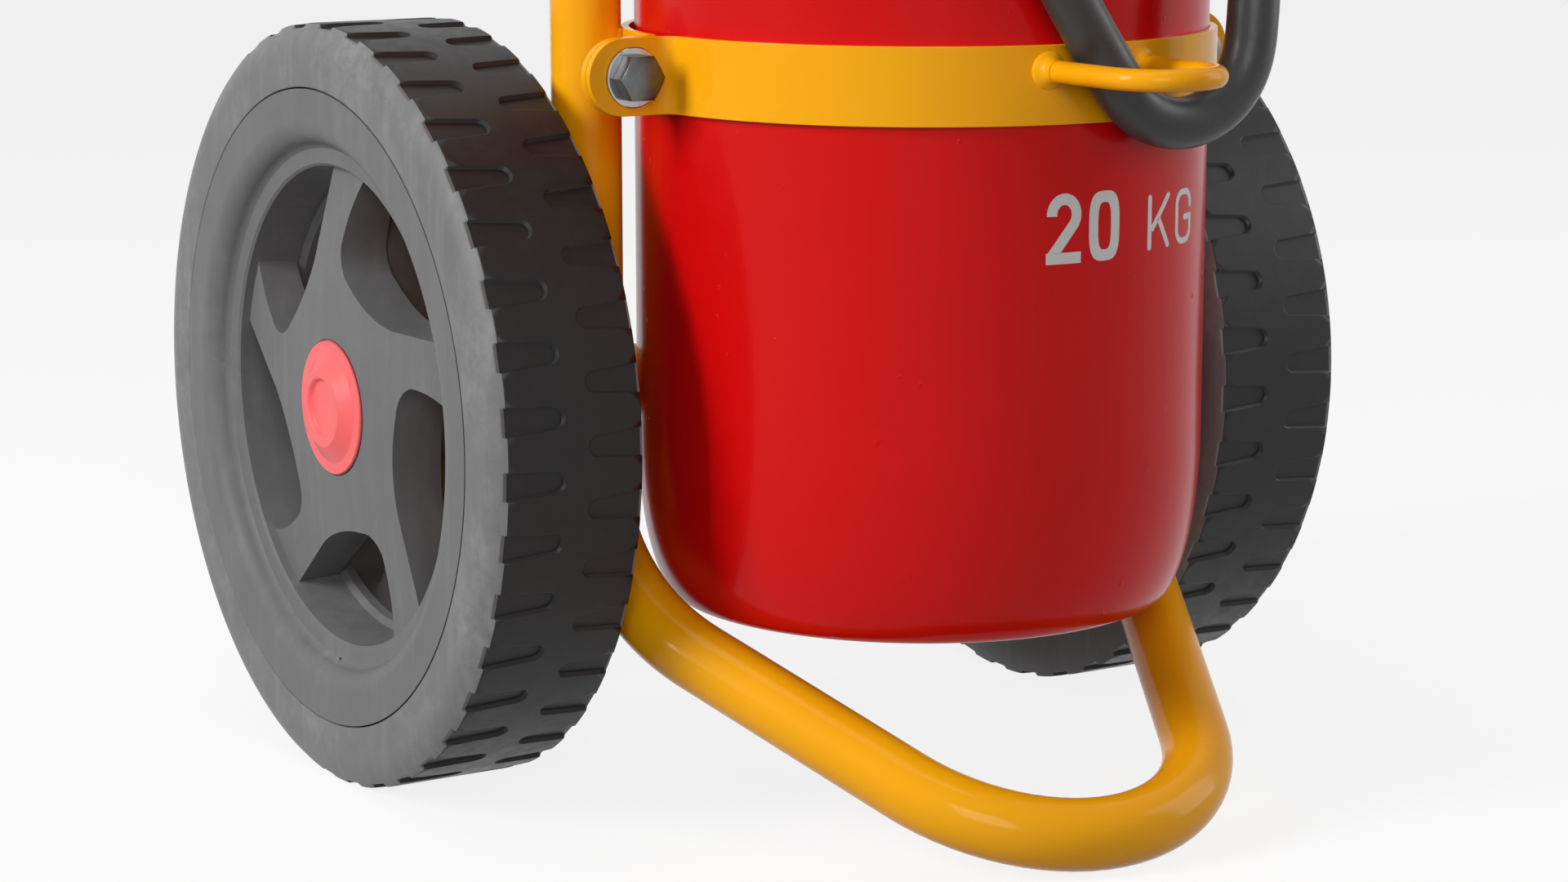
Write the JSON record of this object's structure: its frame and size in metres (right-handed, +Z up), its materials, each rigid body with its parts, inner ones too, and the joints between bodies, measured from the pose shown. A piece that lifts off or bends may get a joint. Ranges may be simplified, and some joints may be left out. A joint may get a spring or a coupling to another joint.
{
  "type": "wheeled fire extinguisher",
  "caption": "Powder cylinder strapped to a tubular two-wheeled trolley with a foot loop, push bar, squeeze valve, gauge, hose in a guide and discharge gun in a clip.",
  "frame": {"origin": "on the floor under the middle of the object's box, measured without the hose", "axes": "+Z up, -Y to the front where the hose guide and foot loop are, X along the wheel axle"},
  "size_m": [0.3932, 0.4502, 1.0043],
  "materials": {
    "tyre": "satin grey-black, moulded",
    "rim": "satin dark grey, moulded",
    "cap_red": "satin red",
    "bush": "plain",
    "bright_steel": "zinc bright",
    "mirror_washer": "polished",
    "spring_steel": "drawn",
    "frame_yellow": "gloss enamel",
    "cylinder_red": "gloss enamel with faint orange peel",
    "grip_rubber": "matt",
    "hose_rubber": "satin",
    "seal_rubber": "matt",
    "brass": "machined",
    "lever_paint": "satin black powder coat",
    "gun_metal": "satin anodised",
    "dial": "matt white",
    "needle": "matt black",
    "lens": "clear",
    "dip_plastic": "plain"
  },
  "bodies": {
    "frame": {"axle": "bright_steel", "inner_washers": "bright_steel", "outer_washers": "bright_steel", "retaining_clips": "bright_steel", "strap_bolts": "bright_steel", "strap_nuts": "bright_steel", "handle_screws": "bright_steel", "lever_pin": "bright_steel", "trigger_pin": "bright_steel", "hose_ferrule_valve": "bright_steel", "hose_ferrule_nozzle": "bright_steel", "strap_washers": "mirror_washer", "valve_spring": "spring_steel", "trigger_spring": "spring_steel", "axle_tube": "frame_yellow", "axle_bracket_left": "frame_yellow", "axle_bracket_right": "frame_yellow", "foot_loop": "frame_yellow", "upright_left": "frame_yellow", "upright_right": "frame_yellow", "handle_bow": "frame_yellow", "strap_lower_front": "frame_yellow", "strap_lower_rear": "frame_yellow", "strap_upper_front": "frame_yellow", "strap_upper_rear": "frame_yellow", "hose_guide": "frame_yellow", "nozzle_cradle": "frame_yellow", "cylinder_shell": "cylinder_red", "neck_collar": "cylinder_red", "handle_grip": "grip_rubber", "nozzle_tip": "grip_rubber", "hose": "hose_rubber", "neck_seal": "seal_rubber", "stem_seal": "seal_rubber", "valve_body": "brass", "hose_coupling": "brass", "gauge_case": "brass", "valve_handle": "lever_paint", "nozzle_body": "gun_metal", "nozzle_barrel": "gun_metal", "gauge_dial": "dial", "gauge_lens": "lens", "dip_tube": "dip_plastic"},
    "wheel_right": {"tyre_right": "tyre", "rim_right": "rim", "wheel_bush_right": "bush", "hub_cap_right": "cap_red"},
    "wheel_left": {"tyre_left": "tyre", "rim_left": "rim", "wheel_bush_left": "bush", "hub_cap_left": "cap_red"},
    "squeeze_lever": {"squeeze_lever": "lever_paint"},
    "valve_stem": {"valve_stem": "bright_steel"},
    "safety_pin": {"safety_pin": "bright_steel"},
    "gauge_needle": {"gauge_needle": "needle"},
    "trigger_lever": {"trigger_lever": "lever_paint"},
    "trigger_plunger": {"trigger_plunger": "bright_steel"}
  },
  "joints": [
    {"name": "wheel_right_spin", "type": "hinge", "parent": "frame", "child": "wheel_right", "pos_m": [0.164, 0.07515, 0.15], "axis": [1, 0, 0], "continuous": true},
    {"name": "wheel_left_spin", "type": "hinge", "parent": "frame", "child": "wheel_left", "pos_m": [-0.164, 0.07515, 0.15], "axis": [1, 0, 0], "continuous": true},
    {"name": "lever_squeeze", "type": "hinge", "parent": "frame", "child": "squeeze_lever", "pos_m": [0, -0.07355, 0.858], "axis": [-1, 0, 0], "range_deg": [0, 12], "stiffness_Nm_per_rad": 6, "springref_deg": -2.86},
    {"name": "stem_travel", "type": "slide", "parent": "frame", "child": "valve_stem", "axis": [0, 0, -1], "range_m": [0, 0.005], "deforming": ["valve_spring"]},
    {"name": "safety_pin_pull", "type": "slide", "parent": "frame", "child": "safety_pin", "axis": [1, 0, 0], "range_m": [0, 0.046]},
    {"name": "gauge_pointer", "type": "hinge", "parent": "frame", "child": "gauge_needle", "pos_m": [0, -0.05355, 0.8], "axis": [0.4226, -0.9063, 0], "range_deg": [-100, 60], "stiffness_Nm_per_rad": 0.002},
    {"name": "trigger_squeeze", "type": "hinge", "parent": "frame", "child": "trigger_lever", "pos_m": [0.163, -0.05185, 0.688], "axis": [1, 0, 0], "range_deg": [0, 12], "stiffness_Nm_per_rad": 1.5, "springref_deg": -2.86},
    {"name": "plunger_travel", "type": "slide", "parent": "frame", "child": "trigger_plunger", "axis": [0, 1, 0], "range_m": [0, 0.0042], "deforming": ["trigger_spring"]}
  ],
  "couplings": [
    {"joint": "stem_travel", "follows": "lever_squeeze", "m_per_rad": 0.0235},
    {"joint": "plunger_travel", "follows": "trigger_squeeze", "m_per_rad": 0.0195}
  ]
}
